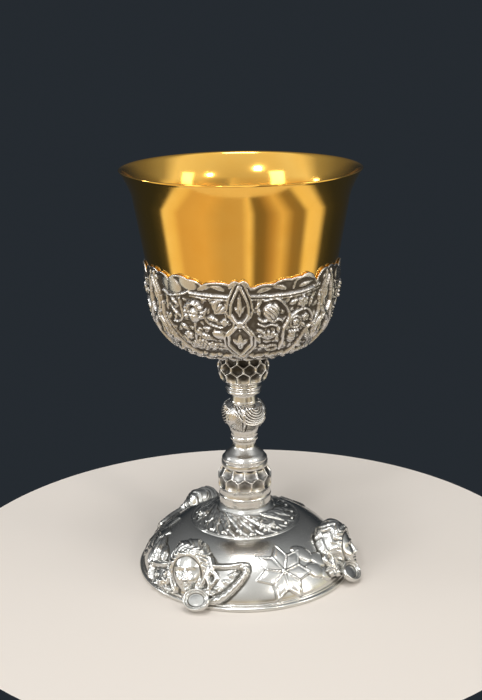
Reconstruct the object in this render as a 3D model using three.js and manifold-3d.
// A silver chalice with a gilt cup. Six pieces stand on each other: the foot, a domed shell with
// three winged heads and three star rosettes; the lower knot, honeycombed above a plain drum; the
// stem with its carved knop; the honeycombed collar; the calyx, a relief shell that holds the cup;
// and the cup itself. Sizes are in millimetres. Z is up, and azimuth 0 is the front, towards -Y,
// growing towards +X.
import * as THREE from "three";
import { mergeVertices } from "three/addons/utils/BufferGeometryUtils.js";
import Module from "manifold-3d";

const wasm = await Module();
wasm.setup();

const TAU = 2 * Math.PI;
const DEGREE = Math.PI / 180;

// Foot
const FOOT_RADIUS = 59;
const FLANGE_HEIGHT = 2.4;
const LEDGE_WIDTH = 2.6;
const LEDGE_RISE = 1.4;
const DOME_HEIGHT = 23.4;
const DOME_POWER = 1.4;
const CAP_RADIUS = 30;
const CAP_MARGIN = 2.4;
const CAP_STEP = 0.9;
const CAP_HEIGHT = 8.9;
const FOOT_WALL = 1.8;
const FOOT_TOP_THICKNESS = 3;
const LEAF_COUNT = 12;
const LEAF_RELIEF = 1.3;

// Ornaments of the foot. A place on the dome is [across, up], from an azimuth and the dome's base.
const HEAD_AZIMUTHS = [-37, 74, 213];
const HEAD_TILTS = [13, -10, 0];
const HEAD_UP = 16;
const HAIR = [11.2, 13.4, 10];
const FACE = [7.4, 9.8, 12.8];
const FACE_DROP = 1.6;
const NOSE = [1.5, 2.6, 14.6];
const WING_REACH = 32;
const SHOULDER_INSET = 2.4;
const SHOULDER_RISE = 1;
const WING_RELIEF = 2.6;
const FEATHERS = 3;
const WING_START = 86;
const WING_SWEEP = 88;
const WING_TAPER = 0.45;
const STAR_AZIMUTHS = [24, 144, 264];
const STAR_UP = 14.4;
const STAR_POINTS = 7;
const STAR_TIP = 16;
const STAR_NOTCH = 9.8;
const STAR_TURN = -23;
const STAR_RELIEF = 2.1;
const CARTOUCHE = [7.6, 6, 2.6];
const CARTOUCHE_LEAN = 40;
const CARTOUCHE_OVERHANG = 3.2;
const CARTOUCHE_HEIGHT = 6.2;
const CARTOUCHE_SHIFT = 0.95;
const BRACKET = [6.6, 4.8, 6];

// Lower knot and its drum
const DRUM_RADIUS = 14.4;
const DRUM_HEIGHT = 8;
const KNOT_RADIUS = 15.4;
const KNOT_HEIGHT = 13.2;
const KNOT_TOP_RADIUS = 11.9;
const KNOT_CELLS = 14;
const KNOT_ROWS = 2;
const KNOT_DIMPLE = 1.2;

// Stem
const BELL_RADIUS = 12.6;
const BELL_HEIGHT = 9.6;
const LOWER_NECK_RADIUS = 5.9;
const LOWER_NECK_HEIGHT = 7;
const BEAD_RADIUS = 7.3;
const BEAD_HEIGHT = 2.6;
const KNOP_RADIUS = 11.8;
const KNOP_HEIGHT = 18;
const KNOP_LEAVES = 8;
const KNOP_RELIEF = 1;
const UPPER_NECK_RADIUS = 7;
const UPPER_NECK_HEIGHT = 6;
const RING_RADIUS = 9.4;
const RING_HEIGHT = 3.8;

// Collar
const COLLAR_RADIUS = 14.4;
const COLLAR_FOOT_RADIUS = 9.2;
const COLLAR_TOP_RADIUS = 13.2;
const COLLAR_HEIGHT = 17.3;
const COLLAR_CELLS = 14;
const COLLAR_ROWS = 3;
const COLLAR_DIMPLE = 1;

// Cup
const CUP_SEAT_RADIUS = 12;
const CUP_BOWL_RADIUS = 46.9;
const CUP_BOWL_DEPTH = 31.8;
const CUP_WALL_RADIUS = 55.5;
const CUP_WALL_HEIGHT = 50;
const CUP_RIM_RADIUS = 62;
const CUP_FLARE_HEIGHT = 14.5;
const CUP_THICKNESS = 1.1;

// Calyx
const CALYX_FLOOR = 1.2;
const CALYX_FOOT_RADIUS = 13.4;
const CALYX_WALL = 0.8;
const CALYX_EDGE_HEIGHT = 45.4;
const CALYX_RIM_WIDTH = 1.8;
const CUP_CLEARANCE = 0.3;
const BAND_COUNT = 6;
const BAND_START = -2;
const BAND_LEVELS = [10.8, 27.8, 45.8];
const BAND_WIDTH = 5.6;
const BAND_RELIEF = 1.6;
const PANEL_LEVELS = [14.8, 27.8, 41.4];
const RAIL_REACH = 18;
const SCROLL_RELIEF = 1.7;
const GRAPE_WIDTH = 3.4;
const CALYX_HEAD = [4.6, 5.4, 3.4];
const BLOOM_RADIUS = 5.2;
const BLOOM_PETALS = 5;

// Facets
const CUP_SEGMENTS = 32;
const FOOT_SEGMENTS = 30;
const CALYX_SEGMENTS = 30;
const STEM_SEGMENTS = 14;
const CELL_SEGMENTS = 2;
const CARTOUCHE_SEGMENTS = 10;

// How far an ornament's underside lies below the surface that carries it
const SINK = 0.5;

const SILVER = { color: 0xb9b6ae, roughness: 0.32, metalness: 1 };
const GILT = { color: 0xe0a63a, roughness: 0.16, metalness: 1 };

// Heights of the seats where one piece stands on the next
const DOME_BASE = FLANGE_HEIGHT + LEDGE_RISE;
const DOME_TOP = DOME_BASE + DOME_HEIGHT;
const FOOT_TOP = DOME_TOP + CAP_STEP + CAP_HEIGHT;
const KNOT_TOP = FOOT_TOP + DRUM_HEIGHT + KNOT_HEIGHT;
const NECK_START = KNOT_TOP + BELL_HEIGHT;
const BEAD_START = NECK_START + LOWER_NECK_HEIGHT;
const KNOP_START = BEAD_START + BEAD_HEIGHT;
const KNOP_END = KNOP_START + KNOP_HEIGHT;
const RING_START = KNOP_END + UPPER_NECK_HEIGHT;
const STEM_TOP = RING_START + RING_HEIGHT;
const COLLAR_TOP = STEM_TOP + COLLAR_HEIGHT;
const CUP_SEAT = COLLAR_TOP + CALYX_FLOOR;

/** A closed solid of a geometry, with its shared vertices merged. */
function solidOf(geometry) {
  const bare = geometry.clone();
  bare.deleteAttribute("normal");
  bare.deleteAttribute("uv");
  const merged = mergeVertices(bare, 1e-3);
  const vertProperties = new Float32Array(merged.getAttribute("position").array);
  const triVerts = new Uint32Array(merged.index.array);
  return new wasm.Manifold(new wasm.Mesh({ numProp: 3, vertProperties, triVerts }));
}

/** The geometry of a solid, for a mesh. */
function geometryOf(solid) {
  const made = solid.getMesh();
  const geometry = new THREE.BufferGeometry();
  geometry.setAttribute("position", new THREE.BufferAttribute(new Float32Array(made.vertProperties), 3));
  geometry.setIndex(new THREE.BufferAttribute(new Uint32Array(made.triVerts), 1));
  geometry.computeVertexNormals();
  return geometry;
}

/** count + 1 values of a function, from its argument 0 to 1. */
function sampled(count, at) {
  return Array.from({ length: count + 1 }, (_, i) => at(i / count));
}

/** The signed angle from a centre to an azimuth, in degrees, from -180 to 180. */
function degreesFrom(azimuth, centre) {
  return ((((azimuth - centre) % 360) + 540) % 360) - 180;
}

/** Turns a profile of [radius, height] about Z. shape, if given, moves each vertex by its azimuth. */
function turned(profile, segments, shape = (azimuth, radius, height) => [radius, height]) {
  const outline = profile.map(([radius, height]) => new THREE.Vector2(radius, height));
  const lathe = new THREE.LatheGeometry(outline, segments);
  const position = lathe.getAttribute("position");
  for (let i = 0; i < position.count; i++) {
    const row = i % profile.length;
    const azimuth = ((Math.floor(i / profile.length) % segments) / segments) * TAU;
    const [radius, height] = profile[row];
    const [r, z] = radius > 0 ? shape(azimuth, radius, height, row) : [radius, height];
    position.setXYZ(i, r * Math.sin(azimuth), -r * Math.cos(azimuth), z);
  }
  return lathe;
}

/** A surface of revolution for ornament: its profile of [radius, height] from its lower edge up. */
class Surface {
  constructor(profile) {
    this.curve = new THREE.CurvePath();
    const points = profile.map(([radius, height]) => new THREE.Vector2(radius, height));
    points.slice(1).forEach((point, i) => this.curve.add(new THREE.LineCurve(points[i], point)));
    this.length = this.curve.getLength();
    this.points = points;
  }

  /** The length along the profile at which it reaches a height. */
  reach(height) {
    let length = 0;
    for (let i = 1; i < this.points.length; i++) {
      const [low, high] = [this.points[i - 1], this.points[i]];
      const step = low.distanceTo(high);
      if (high.y >= height) return length + (step * (height - low.y)) / (high.y - low.y);
      length += step;
    }
    return length;
  }

  /** Places [across, up, out] about an azimuth as points in space. tilt turns them about a centre. */
  about(degrees, tilt = 0, centre = 0) {
    const turn = tilt * DEGREE;
    return (across, up, out) => {
      const x = across * Math.cos(turn) - (up - centre) * Math.sin(turn);
      const y = centre + across * Math.sin(turn) + (up - centre) * Math.cos(turn);
      const share = THREE.MathUtils.clamp(y / this.length, 0, 1);
      const point = this.curve.getPointAt(share);
      const along = this.curve.getTangentAt(share);
      const over = y - share * this.length;
      const radius = point.x + along.x * over + along.y * out;
      const height = point.y + along.y * over - along.x * out;
      const azimuth = degrees * DEGREE + x / point.x;
      return new THREE.Vector3(radius * Math.sin(azimuth), -radius * Math.cos(azimuth), height);
    };
  }
}

/** A closed solid of points and the triangles between them. */
function solidFrom(points, triangles) {
  const geometry = new THREE.BufferGeometry().setFromPoints(points);
  geometry.setIndex(triangles);
  return solidOf(geometry);
}

/** A raised strand with a ridge, along a path of [across, up] places. width and relief go by its share. */
function strand(place, path, width, relief, closed = false) {
  const last = path.length - 1;
  const points = [];
  path.forEach(([x, y], i) => {
    const before = path[i > 0 ? i - 1 : closed ? last : 0];
    const after = path[i < last ? i + 1 : closed ? 0 : last];
    const run = new THREE.Vector2(after[0] - before[0], after[1] - before[1]).normalize();
    const share = i / last;
    const half = width(share) / 2;
    points.push(place(x - run.y * half, y + run.x * half, -SINK));
    points.push(place(x, y, relief(share)));
    points.push(place(x + run.y * half, y - run.x * half, -SINK));
  });
  const triangles = closed ? [] : [0, 2, 1, last * 3, last * 3 + 1, last * 3 + 2];
  for (let i = 0; i < (closed ? last + 1 : last); i++) {
    const [here, next] = [i * 3, ((i + 1) % (last + 1)) * 3];
    for (let j = 0; j < 3; j++) {
      const k = (j + 1) % 3;
      triangles.push(here + j, here + k, next + k, here + j, next + k, next + j);
    }
  }
  return solidFrom(points, triangles);
}

/** A rounded boss at [across, up], with its half sizes across, up and out. Its sides go straight down. */
function boss(place, [x, y], [wide, tall, high], detail = 0) {
  const ball = mergeVertices(bareBall(detail), 1e-3);
  const position = ball.getAttribute("position");
  for (let i = 0; i < position.count; i++) {
    const at = new THREE.Vector3().fromBufferAttribute(position, i);
    const spread = Math.hypot(at.x, at.y);
    const wall = at.z < -0.01 && spread > 0.01 ? 1 / spread : 1;
    const put = place(x + at.x * wall * wide, y + at.y * wall * tall, at.z < -0.01 ? -SINK : at.z * high);
    position.setXYZ(i, put.x, put.y, put.z);
  }
  return solidOf(ball);
}

/** A ball of radius 1 with few faces and no normals. */
function bareBall(detail) {
  const ball = new THREE.IcosahedronGeometry(1, detail);
  ball.deleteAttribute("normal");
  ball.deleteAttribute("uv");
  return ball;
}

/** The dome's outline from its base to the cap, as a superellipse. */
function domePoint(t, inset = 0) {
  const power = 2 / DOME_POWER;
  const angle = (t * Math.PI) / 2;
  const reach = FOOT_RADIUS - LEDGE_WIDTH - CAP_RADIUS;
  const radius = CAP_RADIUS - inset + reach * Math.cos(angle) ** power;
  return [radius, DOME_BASE - inset + DOME_HEIGHT * Math.sin(angle) ** power];
}

/** A fan of diamond petals, each with a crest, about a place [across, up]. reach gives the length of a
 * petal's tip, and its sides and crest lie at the share notch of that. A sweep of TAU makes a whole star. */
function fan(place, [x, y], petals, reach, notch, relief, start = 0, sweep = TAU) {
  const whole = sweep === TAU;
  const step = sweep / petals;
  const at = (turn, radius, out) => place(x + radius * Math.sin(turn), y + radius * Math.cos(turn), out);
  const points = [place(x, y, relief * 0.3), place(x, y, -SINK)];
  const add = (turn, radius, out) => points.push(at(turn, radius, out)) - 1;
  const sides = sampled(petals, (t) => start + t * sweep);
  if (whole) sides.pop();
  const rim = sides.map((turn, i) => {
    const radius = reach(Math.min(i, petals - 1)) * notch;
    return [add(turn, radius, relief * 0.25), add(turn, radius, -SINK)];
  });
  const triangles = [];
  const wall = ([top, foot], [nextTop, nextFoot]) => triangles.push(top, foot, nextTop, nextTop, foot, nextFoot);
  for (let i = 0; i < petals; i++) {
    const middle = start + (i + 0.5) * step;
    const crest = add(middle, reach(i) * notch, relief);
    const tip = [add(middle, reach(i), relief * 0.2), add(middle, reach(i), -SINK)];
    const [from, to] = [rim[i], rim[(i + 1) % rim.length]];
    triangles.push(0, crest, from[0], crest, tip[0], from[0], crest, to[0], tip[0], 0, to[0], crest);
    triangles.push(1, from[1], tip[1], 1, tip[1], to[1]);
    wall(tip, from);
    wall(to, tip);
  }
  if (!whole) {
    wall(rim[0], [0, 1]);
    wall([0, 1], rim.at(-1));
  }
  return solidFrom(points, triangles);
}

/** A child's head in high relief, with locks on both sides, and a wing spread on each side. */
function wingedHead(place) {
  const parts = [
    boss(place, [0, HEAD_UP + 1], HAIR, 1),
    boss(place, [0, HEAD_UP - FACE_DROP], FACE),
    boss(place, [0, HEAD_UP - FACE_DROP - 1], NOSE),
  ];
  for (const hand of [-1, 1]) {
    const lock = [
      [hand * HAIR[0] * 0.55, HEAD_UP + HAIR[1] * 0.6],
      [hand * (HAIR[0] + 0.4), HEAD_UP - 1],
      [hand * (HAIR[0] - 1), HEAD_UP - HAIR[1] + 2],
    ];
    parts.push(strand(place, lock, (t) => 5 - 2.2 * t, (t) => (HAIR[2] - 2.4) * (1 - 0.55 * t * t)));
    const shoulder = [hand * (HAIR[0] - SHOULDER_INSET), HEAD_UP + SHOULDER_RISE];
    const full = WING_REACH - HAIR[0] + SHOULDER_INSET;
    const reach = (i) => full * (1 - (WING_TAPER * (hand > 0 ? i : FEATHERS - 1 - i)) / FEATHERS);
    const start = hand > 0 ? WING_START * DEGREE : -(WING_START + WING_SWEEP) * DEGREE;
    parts.push(fan(place, shoulder, FEATHERS, reach, 0.8, WING_RELIEF, start, WING_SWEEP * DEGREE));
  }
  return parts;
}

/** The oval cartouche below a head: a dish on edge that stands out past the foot's rim. */
function cartouche(azimuth) {
  const [wide, long, thick] = CARTOUCHE;
  const profile = [[0, -thick], [0.8, -0.6 * thick], [1, 0.4 * thick], [0.72, thick], [0, 0.3 * thick]];
  const dish = turned(profile, CARTOUCHE_SEGMENTS);
  dish.scale(wide, long, 1);
  dish.rotateX(CARTOUCHE_LEAN * DEGREE);
  dish.translate(0, -FOOT_RADIUS - CARTOUCHE_OVERHANG, CARTOUCHE_HEIGHT);
  return solidOf(dish.rotateZ(azimuth * DEGREE));
}

/** The foot: flange, dome, leafy cap, heads, stars and cartouches, hollow beneath. */
function foot() {
  const dome = sampled(4, (t) => domePoint(t));
  const cap = [
    [CAP_RADIUS - CAP_STEP / 2, DOME_TOP],
    [CAP_RADIUS - CAP_STEP, DOME_TOP + CAP_STEP],
    ...sampled(3, (t) => [
      THREE.MathUtils.lerp(CAP_RADIUS - CAP_MARGIN, DRUM_RADIUS, t),
      DOME_TOP + CAP_STEP + CAP_HEIGHT * (0.1 + 0.9 * t ** 0.9),
    ]),
  ];
  const ledge = FOOT_RADIUS - LEDGE_WIDTH;
  const flange = [[0, 0], [FOOT_RADIUS, 0], [FOOT_RADIUS, FLANGE_HEIGHT], [ledge, FLANGE_HEIGHT]];
  const profile = [...flange, ...dome, ...cap, [0, FOOT_TOP]];
  const capStart = flange.length + dome.length + 2;
  const body = turned(profile, FOOT_SEGMENTS, (azimuth, radius, height, row) => {
    const leaf = Math.abs(Math.sin((azimuth * LEAF_COUNT) / 2 + row * 0.6)) - 0.5;
    const carved = row > capStart && row < capStart + 3;
    return [radius, carved ? height + LEAF_RELIEF * leaf : height];
  });
  const inside = sampled(3, (t) => domePoint(t * 0.94, FOOT_WALL));
  const ceiling = FOOT_TOP - FOOT_TOP_THICKNESS;
  const hollow = [[0, -1], [inside[0][0], -1], ...inside, [DRUM_RADIUS - FOOT_WALL, ceiling], [0, ceiling]];
  const surface = new Surface(dome);
  let solid = solidOf(body);
  for (const azimuth of STAR_AZIMUTHS) {
    const place = surface.about(azimuth);
    const [notch, turn] = [STAR_NOTCH / STAR_TIP, STAR_TURN * DEGREE];
    solid = solid.add(fan(place, [0, STAR_UP], STAR_POINTS, () => STAR_TIP, notch, STAR_RELIEF, turn));
  }
  HEAD_AZIMUTHS.forEach((azimuth, i) => {
    const place = surface.about(azimuth, HEAD_TILTS[i], HEAD_UP);
    for (const part of wingedHead(place)) solid = solid.add(part);
    const below = azimuth + HEAD_TILTS[i] * CARTOUCHE_SHIFT;
    solid = solid.add(boss(surface.about(below), [0, 0], BRACKET)).add(cartouche(below));
  });
  const spread = FOOT_RADIUS * 4;
  const floor = solidOf(new THREE.BoxGeometry(spread, spread, FOOT_TOP).translate(0, 0, -FOOT_TOP / 2));
  return geometryOf(solid.subtract(solidOf(turned(hollow, CUP_SEGMENTS))).subtract(floor));
}

/** How deep a net of dimples is at an azimuth, and at a level counted in rows of cells: 0 to 1. */
function dimple(azimuth, level, cells) {
  const row = Math.floor(level);
  const across = (azimuth / TAU) * cells + (row % 2) / 2;
  const off = Math.abs(across - Math.round(across)) * 2;
  const rise = Math.abs(level - row - 0.5) * 2;
  return Math.max(0, 1 - Math.hypot(off, rise) ** 2);
}

/** A swelling covered with rows of dimples, from its foot radius by its greatest to its top radius. */
function honeycombed(below, above, foot, greatest, top, start, height, rows, cells, depth) {
  const steps = rows * 2;
  const swell = sampled(steps, (t) => {
    const edge = THREE.MathUtils.lerp(foot, top, t);
    const bulge = (greatest - (foot + top) / 2) * Math.sin(Math.PI * t) ** 0.8;
    return [edge + bulge, start + height * t];
  });
  const profile = [...below, ...swell, ...above];
  return turned(profile, cells * CELL_SEGMENTS, (azimuth, radius, z, row) => {
    const step = row - below.length;
    const carved = step > 0 && step < steps;
    return [radius - (carved ? depth * dimple(azimuth, step / 2, cells) : 0), z];
  });
}

/** The lower knot: a drum below and a honeycombed swelling above. */
function lowerKnot() {
  const drumTop = FOOT_TOP + DRUM_HEIGHT;
  const ridge = FOOT_TOP + DRUM_HEIGHT * 0.6;
  const drum = [
    [0, FOOT_TOP],
    [DRUM_RADIUS, FOOT_TOP],
    [DRUM_RADIUS - 0.4, ridge - 0.7],
    [DRUM_RADIUS, ridge],
    [DRUM_RADIUS - 0.6, ridge + 0.9],
  ];
  const top = [[0, KNOT_TOP]];
  return honeycombed(
    drum, top, DRUM_RADIUS - 0.2, KNOT_RADIUS, KNOT_TOP_RADIUS, drumTop, KNOT_HEIGHT,
    KNOT_ROWS, KNOT_CELLS, KNOT_DIMPLE,
  );
}

/** The honeycombed collar between the stem and the calyx. */
function collar() {
  return honeycombed(
    [[0, STEM_TOP]], [[0, COLLAR_TOP]], COLLAR_FOOT_RADIUS, COLLAR_RADIUS, COLLAR_TOP_RADIUS,
    STEM_TOP, COLLAR_HEIGHT, COLLAR_ROWS, COLLAR_CELLS, COLLAR_DIMPLE,
  );
}

/** The stem: bell, neck, bead, carved knop, neck and ring. */
function stem() {
  const lip = BELL_HEIGHT * 0.4;
  const bell = sampled(4, (t) => [
    THREE.MathUtils.lerp(BELL_RADIUS - 1.4, LOWER_NECK_RADIUS + 0.3, t ** 0.62),
    KNOT_TOP + lip + (BELL_HEIGHT - lip) * t ** 1.3,
  ]);
  const start = [
    [0, KNOT_TOP],
    [BELL_RADIUS - 0.7, KNOT_TOP],
    [BELL_RADIUS, KNOT_TOP + 0.7],
    [BELL_RADIUS, KNOT_TOP + lip - 0.6],
    ...bell,
    [LOWER_NECK_RADIUS, (NECK_START + BEAD_START) / 2],
    [LOWER_NECK_RADIUS + 0.6, BEAD_START],
    [BEAD_RADIUS, BEAD_START + BEAD_HEIGHT * 0.35],
    [BEAD_RADIUS, BEAD_START + BEAD_HEIGHT * 0.7],
  ];
  const knop = sampled(6, (t) => {
    const edge = THREE.MathUtils.lerp(BEAD_RADIUS - 0.3, UPPER_NECK_RADIUS + 0.2, t);
    return [edge + (KNOP_RADIUS - edge) * Math.sin(Math.PI * t ** 1.3) ** 1.2, KNOP_START + KNOP_HEIGHT * t];
  });
  const end = [
    [UPPER_NECK_RADIUS - 0.2, KNOP_END + UPPER_NECK_HEIGHT * 0.4],
    [UPPER_NECK_RADIUS, RING_START],
    [RING_RADIUS, RING_START + RING_HEIGHT * 0.25],
    [RING_RADIUS - 0.6, RING_START + RING_HEIGHT * 0.5],
    [RING_RADIUS, RING_START + RING_HEIGHT * 0.75],
    [RING_RADIUS - 0.3, STEM_TOP],
    [0, STEM_TOP],
  ];
  return turned([...start, ...knop, ...end], STEM_SEGMENTS, (azimuth, radius, height, row) => {
    const step = row - start.length;
    if (step <= 0 || step >= knop.length - 1) return [radius, height];
    const leaf = Math.abs(Math.cos((azimuth * KNOP_LEAVES) / 2 + step * 0.4)) - 0.5;
    return [radius + KNOP_RELIEF * leaf * Math.sin((Math.PI * step) / (knop.length - 1)), height];
  });
}

/** The cup's outline from its seat to the rim, moved inwards by inset. */
function cupOutline(inset) {
  const bowlTop = CUP_SEAT + CUP_BOWL_DEPTH;
  const wallTop = bowlTop + CUP_WALL_HEIGHT;
  const reach = CUP_BOWL_RADIUS - inset - CUP_SEAT_RADIUS;
  const bowl = sampled(4, (t) => [
    CUP_SEAT_RADIUS + reach * Math.sin((t * Math.PI) / 2),
    bowlTop - (CUP_BOWL_DEPTH - inset) * Math.cos((t * Math.PI) / 2),
  ]);
  const flare = new THREE.QuadraticBezierCurve(
    new THREE.Vector2(CUP_WALL_RADIUS - inset, wallTop),
    new THREE.Vector2(CUP_WALL_RADIUS - inset + 1.2, wallTop + CUP_FLARE_HEIGHT * 0.42),
    new THREE.Vector2(CUP_RIM_RADIUS - inset, wallTop + CUP_FLARE_HEIGHT),
  );
  return [...bowl, ...sampled(2, (t) => flare.getPoint(t).toArray())];
}

/** The gilt cup, turned from sheet, open at the top. */
function cup() {
  const outside = cupOutline(0);
  const inside = cupOutline(CUP_THICKNESS).reverse();
  return turned([[0, CUP_SEAT], ...outside, ...inside, [0, CUP_SEAT + CUP_THICKNESS]], CUP_SEGMENTS);
}

// Lobes of the calyx's edge over a third of its round: azimuth in degrees, rise and half-width
const EDGE_LOBES = [
  [-56, 3, 6],
  [-38, 3, 7],
  [-1, 2.6, 5],
  [24, 2.4, 6],
  [38, 3.2, 7],
];

/** The rise of the calyx's edge above its lowest level. */
function edgeRise(degrees) {
  let rise = 0;
  for (const [centre, height, width] of EDGE_LOBES) {
    const off = degreesFrom(degrees * 3, centre * 3) / 3;
    rise = Math.max(rise, height * Math.exp(-((off / width) ** 2) / 1.4));
  }
  return rise;
}

/** A band of strapwork: a pointed frame above a six-sided one, on the calyx's surface. */
function strapwork(place, surface) {
  const [low, waist, high] = BAND_LEVELS.map((z) => surface.reach(CUP_SEAT + z));
  const outline = [[0, 1], [-1, 0.4], [-1, -0.4], [0, -1], [1, -0.4], [1, 0.4]];
  return [[waist, high], [low, waist]].map(([from, to]) => {
    const path = outline.map(([x, y]) => [x * BAND_WIDTH, (from + to) / 2 + (y * (to - from)) / 2]);
    return strand(place, path, () => 3.2, () => BAND_RELIEF, true);
  });
}

/** What stands between two bands: a rail, vine scrolls, grapes, and a child's head or a bloom. */
function panel(place, surface, isHead) {
  const [foot, middle, rail] = PANEL_LEVELS.map((z) => surface.reach(CUP_SEAT + z));
  const line = sampled(3, (t) => [(t - 0.5) * 2 * RAIL_REACH, rail]);
  const parts = [strand(place, line, () => 3, () => SCROLL_RELIEF * 0.7)];
  for (const hand of [-1, 1]) {
    const scroll = [[4, foot - 3], [15.5, foot + 3], [12, middle + 1]];
    const mirrored = scroll.map(([x, y]) => [hand * x, y]);
    parts.push(strand(place, mirrored, (t) => 3.6 - 1.2 * t, () => SCROLL_RELIEF));
  }
  parts.push(boss(place, [0, foot + 2], [GRAPE_WIDTH, GRAPE_WIDTH * 1.3, SCROLL_RELIEF * 1.2]));
  const centre = [0, middle + 4];
  if (isHead) parts.push(boss(place, centre, CALYX_HEAD));
  else parts.push(fan(place, centre, BLOOM_PETALS, () => BLOOM_RADIUS, 0.7, SCROLL_RELIEF * 1.3));
  return parts;
}

/** The calyx: a relief shell with a lobed edge, cut to the cup that stands in it. */
function calyx() {
  const grown = cupOutline(-CUP_CLEARANCE);
  const edge = CUP_SEAT + CALYX_EDGE_HEIGHT;
  const slope = (CUP_WALL_RADIUS - CUP_BOWL_RADIUS) / CUP_WALL_HEIGHT;
  const bowl = grown.slice(1, -3).map(([radius, height]) => [radius + CALYX_WALL, height - CALYX_WALL / 2]);
  const [topRadius, topHeight] = bowl.at(-1);
  const rim = topRadius + (edge - topHeight) * slope;
  const outside = [[CALYX_FOOT_RADIUS, COLLAR_TOP + CALYX_WALL], ...bowl, [rim, edge]];
  const base = [[0, COLLAR_TOP], [CALYX_FOOT_RADIUS, COLLAR_TOP]];
  const profile = [...base, ...outside, [rim - CALYX_RIM_WIDTH, edge], [0, edge]];
  const rimRow = profile.length - 3;
  const shell = turned(profile, CALYX_SEGMENTS, (azimuth, radius, height, row) => {
    const rise = row < rimRow ? 0 : edgeRise(azimuth / DEGREE);
    return [radius + rise * slope, height + rise];
  });
  const surface = new Surface([...outside, [rim + slope * CALYX_RIM_WIDTH, edge + CALYX_RIM_WIDTH]]);
  const sector = 360 / BAND_COUNT;
  let solid = solidOf(shell);
  for (let i = 0; i < BAND_COUNT; i++) {
    const band = i * sector + BAND_START;
    const parts = strapwork(surface.about(band), surface);
    parts.push(...panel(surface.about(band - sector / 2), surface, i % 2 === 0));
    for (const part of parts) solid = solid.add(part);
  }
  const cutter = turned([[0, CUP_SEAT], ...grown, [0, grown.at(-1)[1]]], CUP_SEGMENTS);
  return geometryOf(solid.subtract(solidOf(cutter)));
}

const chalice = new THREE.Group();
const pieces = [
  ["foot", foot(), SILVER],
  ["lower_knot", lowerKnot(), SILVER],
  ["stem", stem(), SILVER],
  ["collar", collar(), SILVER],
  ["calyx", calyx(), SILVER],
  ["cup", cup(), GILT],
];
for (const [name, geometry, finish] of pieces) {
  const mesh = new THREE.Mesh(geometry, new THREE.MeshStandardMaterial(finish));
  mesh.name = name;
  chalice.add(mesh);
}

export default chalice;
